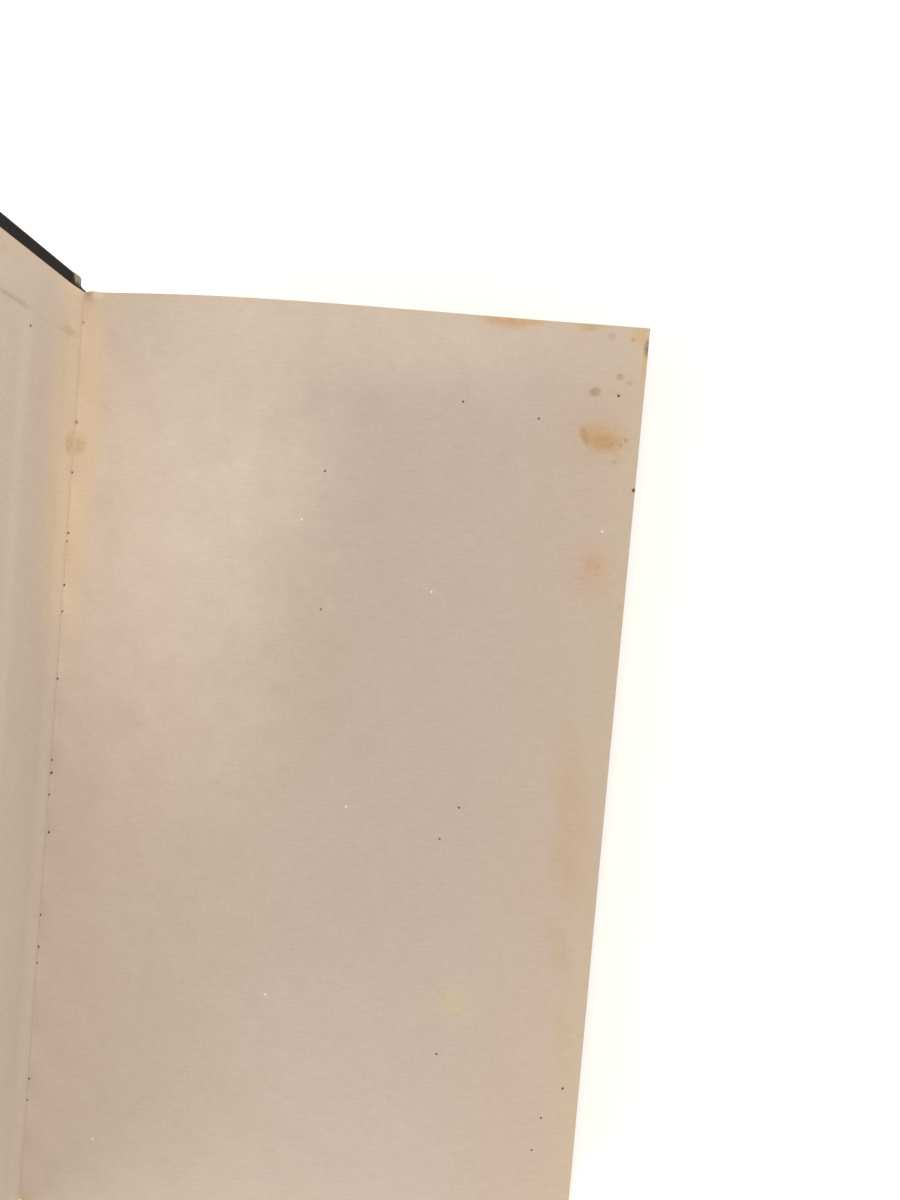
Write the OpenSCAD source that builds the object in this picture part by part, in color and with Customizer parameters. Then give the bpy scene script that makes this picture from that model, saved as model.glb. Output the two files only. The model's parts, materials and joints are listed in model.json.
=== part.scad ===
// Open case-bound cloth book, lying on its back cover with the front cover standing open.
// Millimetres. +X is the fore edge, +Y the head, +Z up. The origin is the middle of the
// back cover's underside. Everything is a profile in X and Z, run along Y.

/* [Leaves] */
// width of a leaf from the fold to the fore edge
leaf_w = 141; // [110:1:190]
// height of a leaf from tail to head
leaf_h = 235; // [160:1:300]
// thickness of the sewn block of leaves
block_t = 25; // [17:0.5:40]
// thickness of an endpaper
paper_t = 0.2; // [0.15:0.01:0.3]
// depth of the rounding, the same at the spine and at the hollow fore edge
round_depth = 4; // [2.5:0.1:5]

/* [Front free endpaper] */
// rise of the leaf's crest over the block
crest_h = 4.5; // [1:0.25:8]
// distance of the crest from the fold
crest_at = 39; // [25:1:60]
// width of the pasted strip that holds the leaf to the block
tip_strip = 4; // [2:0.5:8]

/* [Case] */
// thickness of a cover board
board_t = 2.5; // [1.5:0.1:4]
// thickness of the black book cloth
cloth_t = 0.4; // [0.3:0.02:0.6]
// how far the boards stand out beyond the leaves at head, tail and fore edge
square = 3; // [2:0.25:5]
// width of the cloth folded in over a board's edge
turn_in = 15; // [10:0.5:20]
// gap from the fold to the board's spine edge, which lets the cover swing
joint_gap = 5.5; // [5:0.1:8]
// radius of a board's two fore-edge corners
corner_r = 1.2; // [0.8:0.1:3]
// angle of the front cover from closed
front_open = 85; // [80:1:180]

/* [Spine] */
// thickness of the open-weave mull, glued up
mull_t = 0.4; // [0.3:0.02:0.5]
// width of mull pasted down on each board
mull_on_board = 20; // [12:0.5:30]
// how far the mull stops short of the cloth folded in at head and tail
mull_short = 1.4; // [0.5:0.1:10]
// thickness of the paper lining over the mull
lining_t = 0.25; // [0.2:0.01:0.4]
// thickness of the card inlay that stiffens the spine cloth
inlay_t = 0.6; // [0.4:0.02:0.8]
// thickness of a sewing cord, let into a saw cut across the folds
cord_t = 0.8; // [0.6:0.05:1.2]
// distance of the end kettle stitches from head and tail
kettle_in = 16; // [10:0.5:25]

/* [Fits] */
// air between a cover and what it closes on
clear = 0.3; // [0.2:0.05:0.6]
// glue between two curved layers
glue = 0.05; // [0.03:0.01:0.1]
// slack between a cord and its saw cut
cord_slack = 0.1; // [0.05:0.01:0.2]

/* [Hidden] */
$fn = 180;
eps = 0.01;
long = 4 * leaf_h;

// how far the hinge axis lies from each thing on a cover, in the closed book
face_w = paper_t / 2 + clear;        // face of the pastedown, over cloth and mull
fold_w = face_w + paper_t;           // inner side of the turned-in cloth and of the mull
inner_w = fold_w + cloth_t;          // inner face of the board
outer_w = inner_w + board_t;         // outer face of the board
skin_w = outer_w + cloth_t;          // outside of the cover

// heights in the closed book
back_z = skin_w;                     // back hinge axis
block_z = back_z + paper_t / 2;      // underside of the block
top_z = block_z + block_t;           // top of the block
front_z = top_z + paper_t / 2;       // front hinge axis
mid_z = block_z + block_t / 2;

// rounding: one arc through both shoulders
round_r = (block_t * block_t / 4 + round_depth * round_depth) / (2 * round_depth);
round_x = round_r - round_depth;     // arc centre, measured from the hinge axis

// spine layers, from the folds outward
mull_r = round_r + glue;
lining_r = mull_r + mull_t + glue;
fold_r = lining_r + lining_t + 2 * glue;     // turned-in cloth at head and tail
inlay_r = fold_r + cloth_t + glue;
cloth_r = inlay_r + inlay_t + glue;
spine_r = cloth_r + cloth_t;

// the spine layers stop below each cover's joint, so the cover lies back flat
strip_w = inner_w + cloth_t;                 // outside of the cloth in the joint
spine_half = front_z - mid_z - strip_w - clear;
// bulge of the spine beside a board that lies back flat
bulge = sqrt(pow(spine_r, 2) - pow(front_z - mid_z - skin_w, 2)) - round_x;
board_at = max(joint_gap, bulge + clear + cloth_t);

// widths
board_end = leaf_w + square;
case_end = board_end + cloth_t;
joint_end = board_at - cloth_t;              // cloth over the board's spine edge
board_half = leaf_h / 2 + square;
case_half = board_half + cloth_t;
leaf_half = leaf_h / 2;
mull_end = board_at + mull_on_board;
mull_half = case_half - turn_in - mull_short;
joint_start = 1.2;                           // the joint's layers keep clear of the fold
shoulder_in = 0.9;                           // the block's shoulder is eased back this far
shoulder_z = strip_w + clear + 0.2;
shoulder_dz = front_z - mid_z - shoulder_z;
shoulder_x = round_x - sqrt(pow(round_r, 2) - pow(shoulder_dz, 2));
bead_r = 0.25;                               // the fold itself, on the hinge axis

// the hinge axes stand here in the shared frame
hinge_x = -(joint_end + case_end) / 2;

// leaf arcs: one rises from the tip strip to the crest, one falls to the fore edge
rise_run = crest_at - tip_strip / 2;
rise_r = (rise_run * rise_run + crest_h * crest_h) / (2 * crest_h);
fall_run = leaf_w - crest_at;
fall_r = (fall_run * fall_run + crest_h * crest_h) / (2 * crest_h);

paper = [0.86, 0.80, 0.71];
leaves = [0.90, 0.85, 0.74];
black = [0.13, 0.11, 0.10];
board = [0.55, 0.50, 0.42];
gauze = [0.88, 0.86, 0.78];
kraft = [0.66, 0.52, 0.36];
cord = [0.84, 0.78, 0.62];
card = [0.62, 0.58, 0.52];

// a profile in X and Z, run along Y to both sides
module run(half) rotate([90, 0, 0]) linear_extrude(2 * half, center = true) children();

// a rectangle from corner to corner
module rect(x0, x1, y0, y1) translate([x0, y0]) square([x1 - x0, y1 - y0]);

// everything on the block is drawn from the hinge line
module at_hinge() translate([hinge_x, 0, 0]) children();

// a cover is drawn closed: X from the fold, Z outward from the hinge axis
module front_side() at_hinge() translate([0, 0, front_z]) rotate([0, -front_open, 0]) children();
module back_side() at_hinge() translate([0, 0, back_z]) mirror([0, 0, 1]) children();

// a flat piece of a cover with its two fore-edge corners rounded
module plate(x0, x1, half, w0, w1, r) {
    translate([0, 0, w0]) linear_extrude(w1 - w0) {
        rect(x0, x1 - r, -half, half);
        rect(x0, x1, -half + r, half - r);
        for (s = [-1, 1]) translate([x1 - r, s * (half - r)]) circle(r);
    }
}

module box(x0, x1, half, w0, w1) translate([x0, -half, w0]) cube([x1 - x0, 2 * half, w1 - w0]);

module cover_board() plate(board_at, board_end, board_half, inner_w, outer_w, corner_r);

// cloth over the outside, round the edges and folded in on three sides
module cover_cloth() {
    difference() {
        plate(joint_end, case_end, case_half, fold_w, skin_w, corner_r + cloth_t);
        plate(board_at, board_end, board_half, inner_w, outer_w, corner_r);
        box(-1, case_end - turn_in, case_half - turn_in, fold_w - 1, inner_w);
    }
    // the joint strip, folded in at head and tail
    difference() {
        box(joint_start, joint_end, case_half, fold_w, strip_w);
        box(-1, joint_end + 1, case_half - turn_in, fold_w - 1, inner_w);
    }
}

module mull_flange() box(joint_start, mull_end, mull_half, fold_w, inner_w);

// endpaper pasted to the board: it stands over the cloth and mull and sinks between them
module pastedown() {
    x0 = mull_end + cord_slack;
    x1 = case_end - turn_in - cord_slack;
    half = case_half - turn_in - cord_slack;
    run(leaf_half) {
        circle(bead_r);
        polygon([[0, -paper_t / 2], [1, face_w], [1, fold_w], [0, paper_t / 2]]);
    }
    difference() {
        union() {
            box(1, leaf_w, leaf_half, face_w, fold_w);
            box(x0, x1, half, face_w, inner_w);
        }
        box(x0 + paper_t, x1 - paper_t, half - paper_t, face_w - 1, inner_w - paper_t);
    }
}

// ring round the rounding's axis, cut to the spine's height
module spine_arc(r, t, dz) {
    intersection() {
        translate([round_x, mid_z]) difference() {
            circle(r + t);
            circle(r);
        }
        rect(-spine_r, round_x - 1, mid_z - dz, mid_z + dz);
    }
}

module cord_places() {
    k = leaf_half - kettle_in;
    for (y = [-k, -k / 2, 0, k / 2, k]) translate([0, y, 0]) children();
}

module block_profile() {
    difference() {
        union() {
            intersection() {
                translate([round_x, mid_z]) circle(round_r);
                rect(-round_depth - 1, round_x, block_z, top_z);
            }
            rect(round_x - eps, leaf_w, block_z, top_z);
        }
        translate([leaf_w + round_x, mid_z]) circle(round_r);
        for (s = [-1, 1])
            polygon([[shoulder_in, mid_z + s * block_t / 2],
                [shoulder_x, mid_z + s * shoulder_dz], [-9, mid_z + s * shoulder_dz],
                [-9, mid_z + s * block_t], [shoulder_in, mid_z + s * block_t]]);
    }
}

module text_block() {
    color(leaves) at_hinge() difference() {
        run(leaf_half) block_profile();
        cord_places() run(cord_t / 2 + cord_slack)
            spine_arc(round_r - cord_t - cord_slack, cord_t + 2, block_t / 2);
    }
}

module front_free_endpaper() {
    color(paper) at_hinge() run(leaf_half) {
        rect(bead_r + clear, tip_strip, top_z, top_z + paper_t);
        intersection() {
            translate([crest_at, top_z + crest_h - rise_r]) difference() {
                circle(rise_r + paper_t);
                circle(rise_r);
            }
            rect(tip_strip / 2, crest_at, top_z, top_z + 2 * crest_h);
        }
        intersection() {
            translate([crest_at, top_z + crest_h - fall_r]) difference() {
                circle(fall_r + paper_t);
                circle(fall_r);
            }
            rect(crest_at - eps, leaf_w, top_z, top_z + 2 * crest_h);
        }
    }
}

module back_free_endpaper() {
    color(paper) at_hinge() run(leaf_half) rect(shoulder_in, leaf_w, back_z - paper_t / 2, block_z);
}

module sewing_cords() {
    color(cord) at_hinge() cord_places() run(cord_t / 2) spine_arc(round_r - cord_t, cord_t, spine_half);
}

module spine_mull() {
    color(gauze) at_hinge() run(mull_half) spine_arc(mull_r, mull_t, spine_half);
}

module spine_lining() {
    color(kraft) at_hinge() run(leaf_half - 1) spine_arc(lining_r, lining_t, spine_half);
}

module spine_inlay() {
    color(card) at_hinge() run(board_half) spine_arc(inlay_r, inlay_t, spine_half);
}

// cloth over the inlay, folded in at head and tail
module spine_cloth() {
    color(black) at_hinge() difference() {
        run(case_half) spine_arc(fold_r, spine_r - fold_r, spine_half);
        run(board_half) spine_arc(fold_r + cloth_t, inlay_t + 2 * glue, spine_half + 1);
        run(case_half - turn_in) spine_arc(fold_r - 1, cloth_t + 1 + eps, spine_half + 1);
    }
}

module front_board() color(board) front_side() cover_board();
module front_cover_cloth() color(black) front_side() cover_cloth();
module front_mull_flange() color(gauze) front_side() mull_flange();
module front_pastedown() color(paper) front_side() pastedown();
module back_board() color(board) back_side() cover_board();
module back_cover_cloth() color(black) back_side() cover_cloth();
module back_mull_flange() color(gauze) back_side() mull_flange();
module back_pastedown() color(paper) back_side() pastedown();

text_block();
front_free_endpaper();
back_free_endpaper();
sewing_cords();
spine_mull();
spine_lining();
spine_inlay();
spine_cloth();
front_board();
front_cover_cloth();
front_mull_flange();
front_pastedown();
back_board();
back_cover_cloth();
back_mull_flange();
back_pastedown();
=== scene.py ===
"""Open book: the looks of a cloth case-bound book, made round its packed CAD model."""

import json
import math

import bmesh
import bpy
import numpy as np
from mathutils import Matrix, Vector, noise


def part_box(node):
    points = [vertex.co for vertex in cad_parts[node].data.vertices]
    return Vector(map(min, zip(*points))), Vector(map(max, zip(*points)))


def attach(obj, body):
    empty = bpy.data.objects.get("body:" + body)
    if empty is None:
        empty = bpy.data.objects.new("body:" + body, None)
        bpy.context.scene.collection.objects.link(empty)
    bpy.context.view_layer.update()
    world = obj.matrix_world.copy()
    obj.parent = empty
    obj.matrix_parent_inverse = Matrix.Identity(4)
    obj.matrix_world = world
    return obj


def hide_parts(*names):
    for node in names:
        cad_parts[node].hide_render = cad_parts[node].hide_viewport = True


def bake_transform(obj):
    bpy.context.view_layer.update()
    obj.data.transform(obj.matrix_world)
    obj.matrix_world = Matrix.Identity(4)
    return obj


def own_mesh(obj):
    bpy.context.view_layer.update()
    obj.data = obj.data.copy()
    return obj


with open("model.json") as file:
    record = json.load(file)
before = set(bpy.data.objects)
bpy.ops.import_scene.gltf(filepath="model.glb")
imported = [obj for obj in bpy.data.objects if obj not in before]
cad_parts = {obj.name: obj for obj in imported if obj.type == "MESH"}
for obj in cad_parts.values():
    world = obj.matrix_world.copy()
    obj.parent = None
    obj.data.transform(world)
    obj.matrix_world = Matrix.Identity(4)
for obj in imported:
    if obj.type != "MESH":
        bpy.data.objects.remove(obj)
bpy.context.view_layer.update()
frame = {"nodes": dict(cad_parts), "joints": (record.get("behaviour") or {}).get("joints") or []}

bl_info = {
    "name": "Open Book",
    "version": (1, 0, 0),
    "blender": (4, 5, 0),
    "location": "View3D > Sidebar > Open Book",
    "description": "Makes the cloth, leaves and papers of an old case-bound book round its CAD model",
    "category": "Object",
}

MM = 0.001
JOINTS = {joint["name"]: joint for joint in frame["joints"]}
FRONT = Vector(JOINTS["front_cover_hinge"]["pos_m"])
BACK = Vector(JOINTS["back_cover_hinge"]["pos_m"])
SHEET_MAP = "sheet"  # places on a sheet, in metres from the fold and from the head
THREAD_MAP = "thread"  # places on the cloth as it was cut, in metres


def in_mm(metres):
    return metres / MM


# The CAD model's own sizes, in millimetres. Widths are measured from the hinge axes.
_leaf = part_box("back_free_endpaper")
_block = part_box("text_block")
_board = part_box("back_board")
_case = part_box("back_cover_cloth")
_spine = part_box("spine_cloth")
LEAF_W = in_mm(_leaf[1].x - BACK.x)
LEAF_H = in_mm(_leaf[1].y - _leaf[0].y)
BLOCK_T = in_mm(_block[1].z - _block[0].z)
BLOCK_TOP = in_mm(_block[1].z - FRONT.z)
ROUNDING = in_mm(FRONT.x - _block[0].x)
BOARD_AT = in_mm(_board[0].x - BACK.x)
SKIN_W = in_mm(BACK.z - _case[0].z)
FOLD_W = in_mm(BACK.z - _case[1].z)
CASE_END = in_mm(_case[1].x - BACK.x)
CASE_HALF = in_mm(_case[1].y)
ROUND_R = (BLOCK_T**2 / 4 + ROUNDING**2) / (2 * ROUNDING)
ROUND_X = ROUND_R - ROUNDING
SPINE_R = ROUND_X + in_mm(FRONT.x - _spine[0].x)
SPINE_HALF = in_mm(_spine[1].z - _spine[0].z) / 2
MIDDLE = in_mm(FRONT.z - BACK.z) / 2  # from a hinge axis to the middle of the block
OPEN_AT = -math.radians(JOINTS["front_cover_hinge"]["range_deg"][0])
PASTE_W = in_mm(BACK.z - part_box("back_pastedown")[0].z)  # the pastedown's deepest level
MULL_END = in_mm(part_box("back_mull_flange")[1].x - BACK.x)
TURN_IN = 15.0  # cloth folded in over a board's edge
SPINE_FOLD = 1.5  # depth of the cloth folded in at the spine's ends
SQUARE = CASE_HALF - LEAF_H / 2  # how far the case stands past the leaves
CRISP = math.radians(50)  # faces that meet at more than this are shaded apart


# ---- colours and settings


def linear(red, green, blue):
    """A colour as it looks on a screen, from 0 to 255, as the linear colour that a shader takes."""
    return tuple(
        c / 255 / 12.92 if c <= 10 else ((c / 255 + 0.055) / 1.055) ** 2.4 for c in (red, green, blue)
    )


def colour(name, description, default):
    return bpy.props.FloatVectorProperty(
        name=name, description=description, default=default, size=3, min=0, max=1, subtype="COLOR"
    )


def length(name, description, default, low=0.0, high=1.0):
    return bpy.props.FloatProperty(
        name=name, description=description, default=default, min=low, max=high, unit="LENGTH", precision=5
    )


def strength(name, description, default):
    return bpy.props.FloatProperty(name=name, description=description, default=default, min=0)


class PaperSettings(bpy.types.PropertyGroup):
    """The front leaf's lie and the papers' colours"""

    crest: length("Crest", "Rise of the free leaf's crest over the fold", 0.0044, 0, 0.0046)
    crest_at: length("Crest at", "Distance of the crest from the fold", 0.046, 0.02, 0.08)
    fore_lift: length("Fore edge lift", "Height of the leaf's fore edge over the fold", 0.0020, 0, 0.0044)
    cockle: length("Cockle", "Height of the shallow ripples in old paper", 0.00016, 0, 0.001)
    thickness: length("Thickness", "Thickness of an endpaper", 0.0002, 0.00005, 0.0004)
    paper: colour("Paper", "The endpaper where it is clean", linear(187, 172, 158))
    shaded: colour("Shaded paper", "The endpaper's darker clouds", linear(182, 165, 151))
    toned: colour("Toned edge", "Yellowed paper along head and fore edge", linear(188, 168, 143))
    tan: colour("Gutter tan", "The glue-stained band beside the fold", linear(208, 187, 158))


class ClothSettings(bpy.types.PropertyGroup):
    """The book cloth"""

    thickness: length("Thickness", "Thickness of the cloth", 0.0003, 0.0001, 0.0005)
    edge_round: length("Edge rounding", "Radius of the cloth round a board's edge", 0.0008, 0.0003, 0.0015)
    corner_round: length("Corner rounding", "Radius of a board's worn corner", 0.0022, 0.001, 0.005)
    pitch: length("Thread pitch", "Distance from thread to thread", 0.00042, 0.0002, 0.001)
    black: colour("Black", "The cloth's dye", linear(24, 20, 17))
    rubbed: colour("Rubbed", "The cloth where its colour has worn thin", linear(74, 66, 57))
    bare: colour("Bare thread", "The cloth's undyed base at its most worn", linear(158, 148, 126))


class BlockSettings(bpy.types.PropertyGroup):
    """The block of leaves"""

    gather: length("Gathering", "Thickness of a gathering of leaves", 0.0009, 0.0004, 0.003)
    groove: length("Groove", "Depth of the grooves between gatherings", 0.00022, 0, 0.001)
    loose: bpy.props.IntProperty(
        name="Loose leaves", description="Leaves that lift with the free endpaper", default=3, min=0, max=6
    )
    edge: colour("Edges", "The cut edges of the leaves", linear(202, 184, 156))
    dust: colour("Dust", "Dust and toning on the edges", linear(152, 126, 92))


class StageSettings(bpy.types.PropertyGroup):
    """The floor, the lights and the camera"""

    floor: colour("Floor", "The plain pale floor", linear(244, 243, 241))
    key: strength("Key light", "Strength of the main light", 3.22)
    fill: strength("Fill light", "Strength of the light on the far side", 1.2)
    sky: strength("Sky", "Strength of the even light from all round", 0.4)
    lens: bpy.props.FloatProperty(name="Lens", description="Focal length in millimetres", default=27.05, min=10)


class BookSettings(bpy.types.PropertyGroup):
    """All the book's settings"""

    papers: bpy.props.PointerProperty(type=PaperSettings)
    cloth: bpy.props.PointerProperty(type=ClothSettings)
    block: bpy.props.PointerProperty(type=BlockSettings)
    stage: bpy.props.PointerProperty(type=StageSettings)


# ---- places in the book


def by_front(x, y, z):
    """Millimetres from the front hinge axis and the book's middle, as a place in the frame."""
    return Vector((FRONT.x + x * MM, y * MM, FRONT.z + z * MM))


def by_back(x, y, z):
    """The same from the back hinge axis, with z measured towards the floor."""
    return Vector((BACK.x + x * MM, y * MM, BACK.z - z * MM))


def cover_place(u, w, angle):
    """A place on a cover opened by an angle: u runs from the fold along the board, w outward."""
    return (u * math.cos(angle) - w * math.sin(angle), u * math.sin(angle) + w * math.cos(angle))


def ease(value, low, high):
    """0 below low, 1 above high, smooth between."""
    t = min(max((value - low) / (high - low), 0.0), 1.0)
    return t * t * (3 - 2 * t)


def chance(x, y, z=0.0):
    """A fixed, smooth stand-in for chance, of about -1 to 1."""
    return noise.noise(Vector((x, y, z)))


def bell(value, middle, width):
    """1 in the middle, falling off smoothly over about the width."""
    return math.exp(-(((value - middle) / width) ** 2))


def ripple(x, y, scale, seed):
    """Smooth noise of about -1 to 1 over a sheet."""
    return noise.fractal(Vector((x / scale, y / scale, seed)), 1.0, 2.0, 3)


def stations(*stretches):
    """Rising places along an edge: each stretch is (from, to, step)."""
    found = [stretches[0][0]]
    for start, end, step in stretches:
        count = max(1, round((end - start) / step))
        found += [start + (end - start) * (k + 1) / count for k in range(count)]
    return found


# ---- meshes


def new_piece(name, points, faces, maps=()):
    """An object from points and faces. A map is (name, one pair for each point)."""
    mesh = bpy.data.meshes.new(name)
    mesh.from_pydata([tuple(p) for p in points], [], faces)
    corners = np.array([loop.vertex_index for loop in mesh.loops])
    for label, pairs in maps:
        layer = mesh.uv_layers.new(name=label)
        layer.uv.foreach_set("vector", np.array(pairs, np.float32)[corners].ravel())
    mesh.validate()
    mesh.shade_smooth()
    piece = bpy.data.objects.new(name, mesh)
    bpy.context.scene.collection.objects.link(piece)
    return piece


def settle(piece):
    """Turns a piece's modifiers into its mesh."""
    bpy.context.view_layer.update()
    shaped = bpy.data.meshes.new_from_object(
        piece.evaluated_get(bpy.context.evaluated_depsgraph_get()), preserve_all_data_layers=True,
        depsgraph=bpy.context.evaluated_depsgraph_get(),
    )
    piece.modifiers.clear()
    piece.data = shaped
    return piece


def thicken(piece, thickness):
    """Gives a sheet its thickness, behind its face, with crisp rims."""
    solid = piece.modifiers.new("Thickness", "SOLIDIFY")
    solid.thickness = thickness
    solid.offset = -1
    solid.use_even_offset = True
    solid.use_quality_normals = True
    settle(piece)
    piece.data.set_sharp_from_angle(angle=CRISP)
    return piece


def grid_faces(rows, columns, flip=False, first=0):
    faces = []
    for i in range(rows - 1):
        for j in range(columns - 1):
            a = first + i * columns + j
            face = (a, a + 1, a + columns + 1, a + columns)
            faces.append(face[::-1] if flip else face)
    return faces


def paper_sheet(name, across, down, place, thickness, flip=False):
    """A sheet of paper over stations across and down; place gives the point for each."""
    points = [place(x, y) for y in down for x in across]
    pairs = [(x * MM, y * MM) for y in down for x in across]
    piece = new_piece(name, points, grid_faces(len(down), len(across), flip), [(SHEET_MAP, pairs)])
    return thicken(piece, thickness)


# ---- shader wiring


class Wiring:
    """Short calls that add nodes to a tree and join them."""

    def __init__(self, tree):
        self.tree = tree

    def put(self, socket, value):
        if isinstance(value, bpy.types.NodeSocket):
            self.tree.links.new(value, socket)
        elif hasattr(socket.default_value, "__len__"):
            value = tuple(value)
            wanted = len(socket.default_value)
            socket.default_value = value + (1.0,) * (wanted - len(value)) if wanted > len(value) else value
        else:
            socket.default_value = value

    def add(self, kind, inputs=None, **settings):
        node = self.tree.nodes.new(kind)
        for name, value in settings.items():
            setattr(node, name, value)
        for key, value in (inputs or {}).items():
            self.put(node.inputs[key], value)
        return node

    def maths(self, operation, *values, clamp=False):
        node = self.add("ShaderNodeMath", operation=operation, use_clamp=clamp)
        for k, value in enumerate(values):
            self.put(node.inputs[k], value)
        return node.outputs[0]

    def plus(self, first, second, clamp=False):
        return self.maths("ADD", first, second, clamp=clamp)

    def minus(self, first, second, clamp=False):
        return self.maths("SUBTRACT", first, second, clamp=clamp)

    def times(self, first, second, clamp=False):
        return self.maths("MULTIPLY", first, second, clamp=clamp)

    def vector(self, operation, *values):
        node = self.add("ShaderNodeVectorMath", operation=operation)
        for k, value in enumerate(values):
            if operation == "SCALE" and k == 1:
                self.put(node.inputs["Scale"], value)
            else:
                self.put(node.inputs[k], value)
        return node.outputs["Value" if operation in ("LENGTH", "DISTANCE", "DOT_PRODUCT") else "Vector"]

    def spread(self, value, low, high, to_low=0.0, to_high=1.0, smooth=False):
        node = self.add(
            "ShaderNodeMapRange",
            {"Value": value, "From Min": low, "From Max": high, "To Min": to_low, "To Max": to_high},
            interpolation_type="SMOOTHSTEP" if smooth else "LINEAR",
        )
        return node.outputs["Result"]

    def mix(self, factor, first, second, blend="MIX"):
        node = self.add("ShaderNodeMix", data_type="RGBA", blend_type=blend)
        for k, value in ((0, factor), (6, first), (7, second)):
            self.put(node.inputs[k], value)
        return node.outputs[2]

    def noise(self, place, size, detail=2.0, rough=0.5, colour_out=False):
        """Noise whose clouds are about size across, in the units of place."""
        inputs = {"Vector": place, "Scale": 1.0 / size, "Detail": detail, "Roughness": rough}
        node = self.add("ShaderNodeTexNoise", inputs)
        return node.outputs["Color" if colour_out else "Fac"]

    def wander(self, place, size, detail, rough=0.5, reach=None):
        """A vector that strays from nought with the place, for ragged outlines."""
        strayed = self.vector("SUBTRACT", self.noise(place, size, detail, rough, colour_out=True), (0.5, 0.5, 0.5))
        return strayed if reach is None else self.vector("SCALE", strayed, reach)

    def axes(self, place):
        return self.add("ShaderNodeSeparateXYZ", {"Vector": place}).outputs

    def stretched(self, place, x, y, z=1.0):
        return self.vector("MULTIPLY", place, (x, y, z))

    def group(self, tree, **inputs):
        node = self.add("ShaderNodeGroup", node_tree=tree)
        for name, value in inputs.items():
            self.put(node.inputs[name.replace("_", " ")], value)
        return node


def node_group(name, inputs, outputs):
    """Turns a function that wires a group's inside into one that gives the group, made at its first use.

    Inputs are (label, value), where no value stands for a vector. Outputs are labels of values.
    """

    def decorate(wire):
        def made():
            if name in bpy.data.node_groups:
                return bpy.data.node_groups[name]
            tree = bpy.data.node_groups.new(name, "ShaderNodeTree")
            for label, value in inputs:
                kind = "NodeSocketVector" if value is None else "NodeSocketFloat"
                socket = tree.interface.new_socket(name=label, in_out="INPUT", socket_type=kind)
                if value is not None:
                    socket.default_value = value
            for label in outputs:
                tree.interface.new_socket(name=label, in_out="OUTPUT", socket_type="NodeSocketFloat")
            wiring = Wiring(tree)
            source = wiring.add("NodeGroupInput")
            sink = wiring.add("NodeGroupOutput")
            wire(wiring, source.outputs, sink.inputs)
            return tree

        made.__doc__ = wire.__doc__
        return made

    return decorate


@node_group("Paper fibres", [("Place", None), ("Fibre", 0.5)], ["Clouds", "Fibres", "Height"])
def paper_fibres(w, given, out):
    """Clouds, short felted fibres and fine tooth of old wove paper. Place is in millimetres."""
    place = given["Place"]
    slow = w.noise(place, 55.0, 2.0)
    cloud = w.noise(place, 8.0, 4.0, 0.6)
    w.put(out["Clouds"], w.maths("MULTIPLY_ADD", slow, 0.6, w.times(cloud, 0.4)))
    ticks = w.noise(w.stretched(place, 0.28, 1.5), 1.0, 3.0, 0.65)
    cross = w.noise(w.stretched(place, 1.3, 0.4), 1.0, 3.0, 0.65)
    fibres = w.plus(w.spread(ticks, 0.35, 0.65), w.times(w.spread(cross, 0.4, 0.6), 0.4))
    fibres = w.times(w.times(fibres, 0.71), given["Fibre"])
    w.put(out["Fibres"], fibres)
    tooth = w.noise(place, 0.35, 3.0, 0.7)
    w.put(out["Height"], w.plus(w.times(tooth, 0.6), w.times(fibres, 0.7)))


@node_group(
    "Stain and painted light",
    [("Place", None), ("Wander", None), ("Centre", None), ("Radii", None), ("Turn", 0.0), ("Ragged", 0.3),
     ("Softness", 0.4), ("Strength", 1.0)],
    ["Mask"],
)
def stain_and_painted_light(w, given, out):
    """One ragged-edged stain on a sheet. Place, centre and radii are in millimetres."""
    off = w.vector("SUBTRACT", given["Place"], given["Centre"])
    turned = w.add("ShaderNodeVectorRotate", {"Vector": off, "Angle": given["Turn"]}, rotation_type="Z_AXIS")
    scaled = w.vector("DIVIDE", turned.outputs[0], given["Radii"])
    wander = w.vector("SCALE", given["Wander"], given["Ragged"])
    reach = w.vector("LENGTH", w.vector("ADD", scaled, wander))
    mask = w.spread(reach, w.plus(1.0, given["Softness"]), w.minus(1.0, given["Softness"]), smooth=True)
    w.put(out["Mask"], w.times(mask, given["Strength"]))


@node_group("Speck", [("Place", None), ("Centre", None), ("Radius", 0.3), ("Strength", 0.8)], ["Mask"])
def speck(w, given, out):
    """One tiny speck on a sheet. Place, centre and radius are in millimetres."""
    reach = w.vector("DISTANCE", given["Place"], given["Centre"])
    rim, core = w.times(given["Radius"], 1.35), w.times(given["Radius"], 0.5)
    w.put(out["Mask"], w.spread(reach, rim, core, 0.0, given["Strength"], smooth=True))


@node_group(
    "Edge toning",
    [("Place", None), ("Width", 140.0), ("Height", 235.0), ("Fore", 12.0), ("Head", 6.0), ("Ragged", 6.0)],
    ["Mask", "Rim"],
)
def edge_toning(w, given, out):
    """How near a place is to the head, tail or fore edge of a sheet, with a wandering limit."""
    place = given["Place"]
    axes = w.axes(place)
    wander = w.times(w.minus(w.noise(place, 16.0, 3.0), 0.5), given["Ragged"])
    fore = w.plus(w.minus(given["Width"], axes["X"]), wander)
    head = w.plus(axes["Y"], wander)
    tail = w.plus(w.minus(given["Height"], axes["Y"]), wander)
    near_fore = w.spread(fore, given["Fore"], 0.0, smooth=True)
    near_head = w.spread(head, given["Head"], 0.0, smooth=True)
    near_tail = w.spread(tail, given["Head"], 0.0, smooth=True)
    w.put(out["Mask"], w.maths("MAXIMUM", near_fore, w.maths("MAXIMUM", near_head, near_tail)))
    inside = w.spread(fore, w.times(given["Fore"], 2.6), w.times(given["Fore"], 1.1), smooth=True)
    w.put(out["Rim"], w.minus(inside, near_fore, clamp=True))


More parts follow.
